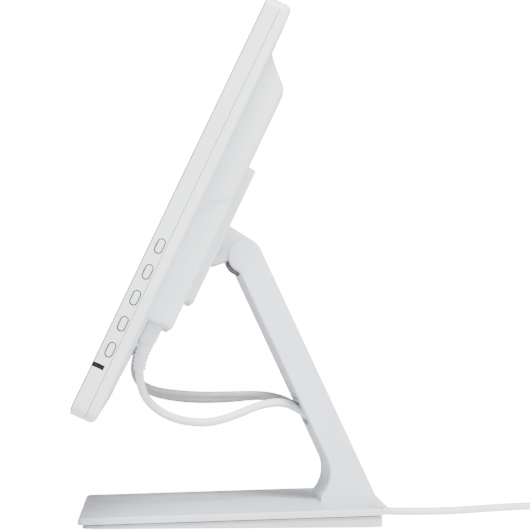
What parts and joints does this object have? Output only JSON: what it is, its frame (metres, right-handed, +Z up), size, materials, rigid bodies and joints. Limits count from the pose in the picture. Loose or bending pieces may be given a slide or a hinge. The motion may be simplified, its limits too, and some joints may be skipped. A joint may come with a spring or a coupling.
{
  "type": "pen drawing tablet",
  "caption": "White pen display leaning back on a one-arm stand with a flat wedge base, side keys, a friction tilt hinge and joined leads.",
  "frame": {"origin": "middle of the base's underside, on the surface it stands on", "axes": "+X to the user's right, where the keys are; +Y to the back; +Z up"},
  "size_m": [0.5165, 0.5173, 0.4066],
  "materials": {
    "shell_white": "fine moulded satin white ABS",
    "arm_white": "fine moulded satin white ABS",
    "base_white": "fine moulded satin white ABS",
    "cover_glass": "black-bordered cover glass, lightly etched",
    "smoked_plastic": "smoked acrylic",
    "black_plastic": "moulded black nylon",
    "panel_frame": "panel frame",
    "circuit_board": "solder mask",
    "switch_plastic": "switch body",
    "frame_steel": "zinc plated",
    "screw_steel": "nickel plated",
    "bush_bronze": "sintered",
    "socket_plastic": "moulded",
    "foot_rubber": "matt sheet rubber",
    "white_jacket": "soft white PVC",
    "grey_jacket": "soft grey PVC"
  },
  "bodies": {
    "stand": {"hinge_shaft": "frame_steel", "friction_washers": "frame_steel", "hinge_nuts": "frame_steel", "arm_shell": "arm_white", "arm_rear_cover": "arm_white", "lead_grommet": "arm_white", "arm_frame_right": "frame_steel", "arm_frame_left": "frame_steel", "arm_screws": "screw_steel", "base_top": "base_white", "base_tray": "base_white", "base_screws": "screw_steel", "base_pad": "foot_rubber", "base_weight": "frame_steel", "video_lead": "white_jacket", "usb_lead": "grey_jacket", "power_lead": "grey_jacket", "lead_yoke": "white_jacket", "main_lead": "white_jacket", "lead_coil": "white_jacket", "lead_tie": "black_plastic", "main_connector": "white_jacket", "connector_shell": "screw_steel"},
    "display": {"cover_screws": "screw_steel", "front_bezel": "shell_white", "front_glass": "cover_glass", "hinge_barrel": "black_plastic", "hinge_bushes": "bush_bronze", "hinge_neck": "shell_white", "inner_chassis": "frame_steel", "key_board": "circuit_board", "key_switches": "switch_plastic", "lcd_panel": "panel_frame", "main_board": "circuit_board", "mount_plate": "shell_white", "neck_screws": "screw_steel", "pen_sensor_board": "circuit_board", "plate_screws": "screw_steel", "power_board": "circuit_board", "power_lamp_window": "smoked_plastic", "power_plug": "grey_jacket", "power_socket": "socket_plastic", "rear_cover": "shell_white", "usb_plug": "grey_jacket", "usb_socket": "socket_plastic", "video_plug": "white_jacket", "video_socket": "socket_plastic"},
    "side_key_1": {"side_key_1": "shell_white"},
    "side_key_2": {"side_key_2": "shell_white"},
    "side_key_3": {"side_key_3": "shell_white"},
    "side_key_4": {"side_key_4": "shell_white"},
    "side_key_5": {"side_key_5": "shell_white"}
  },
  "joints": [
    {"name": "tilt", "type": "hinge", "parent": "stand", "child": "display", "pos_m": [0, 0.0149, 0.2255], "axis": [-1, 0, 0], "range_deg": [-15, 45], "deforming": ["video_lead", "usb_lead", "power_lead"]},
    {"name": "key_press_1", "type": "slide", "parent": "display", "child": "side_key_1", "axis": [-1, 0, 0], "range_m": [0, 0.0008], "stiffness_N_per_m": 900, "springref_m": -0.0005},
    {"name": "key_press_2", "type": "slide", "parent": "display", "child": "side_key_2", "axis": [-1, 0, 0], "range_m": [0, 0.0008], "stiffness_N_per_m": 900, "springref_m": -0.0005},
    {"name": "key_press_3", "type": "slide", "parent": "display", "child": "side_key_3", "axis": [-1, 0, 0], "range_m": [0, 0.0008], "stiffness_N_per_m": 900, "springref_m": -0.0005},
    {"name": "key_press_4", "type": "slide", "parent": "display", "child": "side_key_4", "axis": [-1, 0, 0], "range_m": [0, 0.0008], "stiffness_N_per_m": 900, "springref_m": -0.0005},
    {"name": "key_press_5", "type": "slide", "parent": "display", "child": "side_key_5", "axis": [-1, 0, 0], "range_m": [0, 0.0008], "stiffness_N_per_m": 900, "springref_m": -0.0005}
  ]
}
